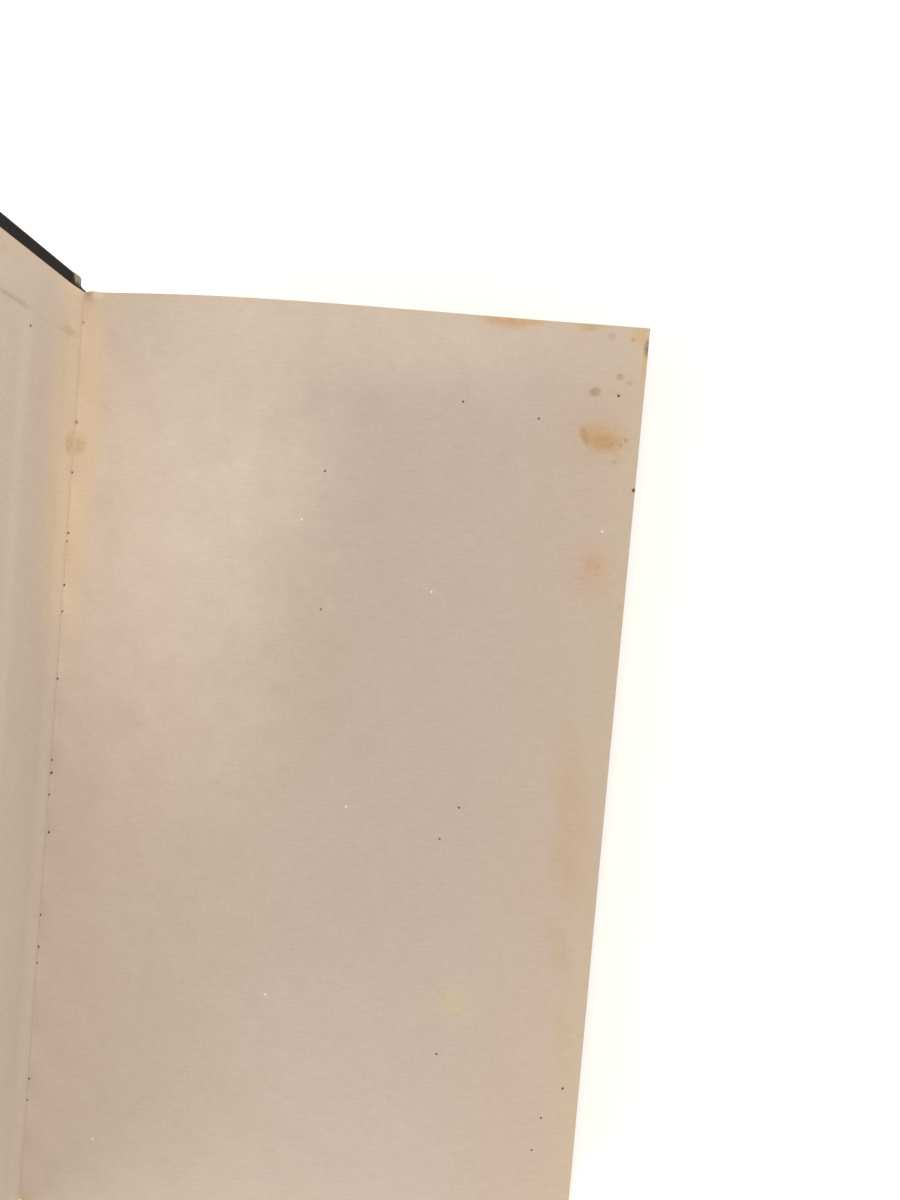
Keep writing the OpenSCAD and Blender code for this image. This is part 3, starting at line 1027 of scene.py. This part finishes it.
class OPENBOOK_OT_block(bpy.types.Operator):
    """Stack the text block, with its gatherings and the leaves that lift with the endpaper"""

    bl_idname = "openbook.block"
    bl_label = "Text Block"

    def execute(self, context):
        settings, papers = context.scene.open_book.block, context.scene.open_book.papers
        half = LEAF_H / 2
        count = round(BLOCK_T / (settings.gather / MM))
        groove = settings.groove / MM
        heights, insets = [], []
        bottom = -BLOCK_T + BLOCK_TOP
        z = bottom
        shares = [1 + 0.7 * chance(k * 2.3, 8.1) for k in range(count)]
        for k in range(count):
            step = BLOCK_T * shares[k] / sum(shares)
            uneven = 0.10 * (1 + chance(k * 0.7, 3.3))
            deep = groove * (0.6 + 0.8 * abs(chance(k * 1.7, 0)))
            for t, inset in ((0.04, deep), (0.2, 0.04), (0.8, 0.0), (0.96, 0.05)):
                heights.append(z + step * t)
                insets.append((inset + uneven, k))
            z += step
        heights[0], heights[-1] = bottom, BLOCK_TOP
        along = stations((-half, half, 4.0))
        wide = stations((0, 1, 0.02))
        shoulder = 0.9  # how far the first and last leaves start from the fold

        def outline(z, inset, k):
            dz = z + MIDDLE
            arc = math.sqrt(ROUND_R**2 - dz * dz)
            back = ROUND_X - arc
            from_face = BLOCK_TOP + MIDDLE - abs(dz)
            if from_face < 1.8:
                back = max(back, shoulder - from_face * 1.14)
            front = LEAF_W + ROUND_X - arc
            ring = []

            def waver(x, y):
                return 0.10 * (1 + chance(x / 23, y / 23, k * 0.9))

            for y in along[:-1]:
                ring.append((back, y * (half - inset - 0.1) / half))
            for t in wide[:-1]:
                x = back + (front - inset - back) * t
                ring.append((x, half - inset - waver(x, half) * min(1, 20 * t)))
            for y in reversed(along[1:]):
                ring.append((front - inset - waver(front, y), y * (half - inset) / half))
            for t in reversed(wide[1:]):
                x = back + (front - inset - back) * t
                ring.append((x, -(half - inset - waver(x, -half) * min(1, 20 * t))))
            return ring

        points, faces = [], []
        for z, (inset, k) in zip(heights, insets):
            points += [by_front(x, y, z) for x, y in outline(z, inset, k)]
        size = len(points) // len(heights)
        for k in range(len(heights) - 1):
            for n in range(size):
                a, b = k * size + n, k * size + (n + 1) % size
                faces.append((a, a + size, b + size, b))
        faces.append(tuple(range(size)))
        faces.append(tuple(reversed(range((len(heights) - 1) * size, len(heights) * size))))
        block = new_piece("text_block_leaves", points, faces)
        mesh = bmesh.new()
        mesh.from_mesh(block.data)
        bmesh.ops.recalc_face_normals(mesh, faces=mesh.faces)
        caps = [face for face in mesh.faces if len(face.verts) > 4]
        bmesh.ops.triangulate(mesh, faces=caps)
        mesh.to_mesh(block.data)
        mesh.free()
        block.data.shade_smooth()
        block.data.set_sharp_from_angle(angle=CRISP)
        block.data.materials.append(edges_material(settings))
        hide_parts("text_block")
        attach(block, "book_block")

        points, faces, pairs = [], [], []
        across = stations((1.2, 9, 1.0), (9, LEAF_W - 0.3, 3.0))
        down = stations((0.25, LEAF_H - 0.25, 3.2))
        for n in range(settings.loose):
            part = (n + 0.6) / (settings.loose + 0.35)
            first = len(points)
            for y in down:
                for x in across:
                    low = BLOCK_TOP + 0.02
                    z = low + part * (leaf_rise(x, y, papers) - 0.3 - low) + 0.12 * ripple(x, y, 40, 20 + n)
                    short = 0.5 * n * ease(x, 100, LEAF_W)
                    points.append(by_front(x - short, half - y, max(z, low + 0.05 * n)))
                    pairs.append((x * MM, y * MM))
            faces += grid_faces(len(down), len(across), True, first)
        leaves = thicken(new_piece("lifted_leaves", points, faces, [(SHEET_MAP, pairs)]), 0.00012)
        leaves.data.materials.append(paper_material("text_paper", papers, foxed=0.08))
        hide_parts("text_block")
        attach(leaves, "book_block")
        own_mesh(leaves)
        return {"FINISHED"}


# ---- inner parts


class OPENBOOK_OT_binding(bpy.types.Operator):
    """Finish the boards, mull, lining, inlay and cords, and fray the cloth at the joint's head"""

    bl_idname = "openbook.binding"
    bl_label = "Binding"

    def execute(self, context):
        board = plain_paper_material("grey_board", linear(150, 138, 116), linear(122, 110, 90))
        finishes = {
            "front_board": board,
            "back_board": board,
            "spine_inlay": plain_paper_material("inlay_card", linear(176, 164, 142), linear(150, 138, 116)),
            "spine_lining": plain_paper_material("kraft_paper", linear(168, 134, 94), linear(142, 110, 74)),
            "sewing_cords": thread_material("linen_cord", linear(206, 190, 150), linear(150, 132, 98), 0.3),
        }
        gauze = thread_material("mull_gauze", linear(206, 198, 172), linear(150, 140, 114), 0.9)
        for node in ("spine_mull", "front_mull_flange", "back_mull_flange"):
            finishes[node] = gauze
        for node, material in finishes.items():
            piece = frame["nodes"][node]
            piece.data.materials.clear()
            piece.data.materials.append(material)
        self.fray(context)
        return {"FINISHED"}

    def fray(self, context):
        """Broken threads standing from the worn cloth at the head of the front joint."""
        stops, _ = joint_curve(OPEN_AT)
        points, faces = [], []
        sides = 5
        for n in range(16):
            draw = [chance(n * 3.7, m * 5.1, 0.4) for m in range(6)]
            spot, way, _, _ = stops[14 + n * 7 % 13]
            inset = 0.25 + 0.5 * abs(draw[0])
            base = Vector((spot[0] + way[0] * inset, CASE_HALF - 0.9, spot[1] + way[1] * inset))
            reach = 0.9 + 0.9 * abs(draw[1])
            lean = Vector((draw[2] * 0.8, 1.0, draw[3] * 0.8)).normalized()
            curl = Vector((draw[4], -0.2, draw[5])) * 0.7
            thick = 0.07 + 0.03 * abs(draw[0])
            first = len(points)
            for k in range(7):
                t = k / 6
                middle = base + lean * reach * t + curl * t * t
                size = thick * (1 - 0.55 * t)
                for s in range(sides):
                    a = 2 * math.pi * s / sides
                    x, z = middle.x + size * math.cos(a), middle.z + size * math.sin(a)
                    points.append(by_front(x, min(middle.y, CASE_HALF + 0.9), z))
            for k in range(6):
                for s in range(sides):
                    a, b = first + k * sides + s, first + k * sides + (s + 1) % sides
                    faces.append((a, a + sides, b + sides, b))
            faces.append(tuple(first + s for s in range(sides)))
            faces.append(tuple(first + 6 * sides + s for s in reversed(range(sides))))
        piece = new_piece("joint_fray", points, faces)
        thread = thread_material("frayed_thread", linear(178, 168, 144), linear(116, 104, 84), 0.3)
        piece.data.materials.append(thread)
        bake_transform(piece)


# ---- the stage


class OPENBOOK_OT_stage(bpy.types.Operator):
    """Make the floor, the soft lights and the camera over the page"""

    bl_idname = "openbook.stage"
    bl_label = "Stage"

    def execute(self, context):
        settings = context.scene.open_book.stage
        under = -2e-5  # just below the book, in metres
        corners = [(-4, -4, under), (4, -4, under), (4, 4, under), (-4, 4, under)]
        floor = new_piece("floor", corners, [(0, 1, 2, 3)])
        material, w, shader = new_material("pale_floor", 0.9, 0.1)
        w.put(shader["Base Color"], settings.floor)
        floor.data.materials.append(material)
        world = bpy.data.worlds.new("soft_sky")
        world.use_nodes = True
        sky = next(node for node in world.node_tree.nodes if node.type == "BACKGROUND")
        sky.inputs["Color"].default_value = (1.0, 0.985, 0.96, 1.0)
        sky.inputs["Strength"].default_value = settings.sky
        context.scene.world = world
        # Each light's height and turn from the right, and its spread, in degrees.
        for name, high, turned, spread, power in (
            ("key_light", 47, 24, 34, settings.key),
            ("fill_light", 38, 205, 50, settings.fill),
        ):
            light = bpy.data.lights.new(name, "SUN")
            light.energy, light.angle, light.color = power, math.radians(spread), (1.0, 0.985, 0.965)
            lamp = bpy.data.objects.new(name, light)
            up, turn = math.radians(high), math.radians(turned)
            way = Vector((math.cos(up) * math.cos(turn), math.cos(up) * math.sin(turn), math.sin(up)))
            lamp.location = way
            lamp.rotation_euler = way.to_track_quat("Z", "Y").to_euler()
            context.scene.collection.objects.link(lamp)
        lens = bpy.data.cameras.new("camera")
        lens.lens, lens.sensor_width, lens.clip_start = settings.lens, 36, 0.005
        camera = bpy.data.objects.new("camera", lens)
        camera.matrix_world = Matrix.Translation(by_front(112.2, LEAF_H / 2 - 61.3, 223.0))
        for degrees, axis in ((5.06, "Z"), (-1.69, "X"), (3.65, "Y")):
            camera.matrix_world = camera.matrix_world @ Matrix.Rotation(math.radians(degrees), 4, axis)
        context.scene.collection.objects.link(camera)
        context.scene.camera = camera
        context.scene.view_settings.view_transform = "Standard"
        return {"FINISHED"}


class OPENBOOK_PT_panel(bpy.types.Panel):
    """The book's settings and the buttons that make its pieces"""

    bl_idname = "OPENBOOK_PT_panel"
    bl_label = "Open Book"
    bl_space_type = "VIEW_3D"
    bl_region_type = "UI"
    bl_category = "Open Book"

    def draw(self, context):
        settings = context.scene.open_book
        for group in (settings.papers, settings.cloth, settings.block, settings.stage):
            box = self.layout.box()
            for name in group.bl_rna.properties.keys():
                if name not in ("name", "rna_type"):
                    box.prop(group, name)
        for operator in OPERATORS:
            self.layout.operator(operator.bl_idname)


OPERATORS = (
    OPENBOOK_OT_stage,
    OPENBOOK_OT_cloth,
    OPENBOOK_OT_block,
    OPENBOOK_OT_pastedowns,
    OPENBOOK_OT_leaf,
    OPENBOOK_OT_binding,
)
CLASSES = (PaperSettings, ClothSettings, BlockSettings, StageSettings, BookSettings, *OPERATORS, OPENBOOK_PT_panel)


def register():
    for made in CLASSES:
        bpy.utils.register_class(made)
    bpy.types.Scene.open_book = bpy.props.PointerProperty(type=BookSettings)


def unregister():
    del bpy.types.Scene.open_book
    for made in reversed(CLASSES):
        bpy.utils.unregister_class(made)


def main():
    register()
    bpy.ops.openbook.stage()
    bpy.ops.openbook.cloth()
    bpy.ops.openbook.block()
    bpy.ops.openbook.pastedowns()
    bpy.ops.openbook.leaf()
    bpy.ops.openbook.binding()


if __name__ == "__main__":
    main()
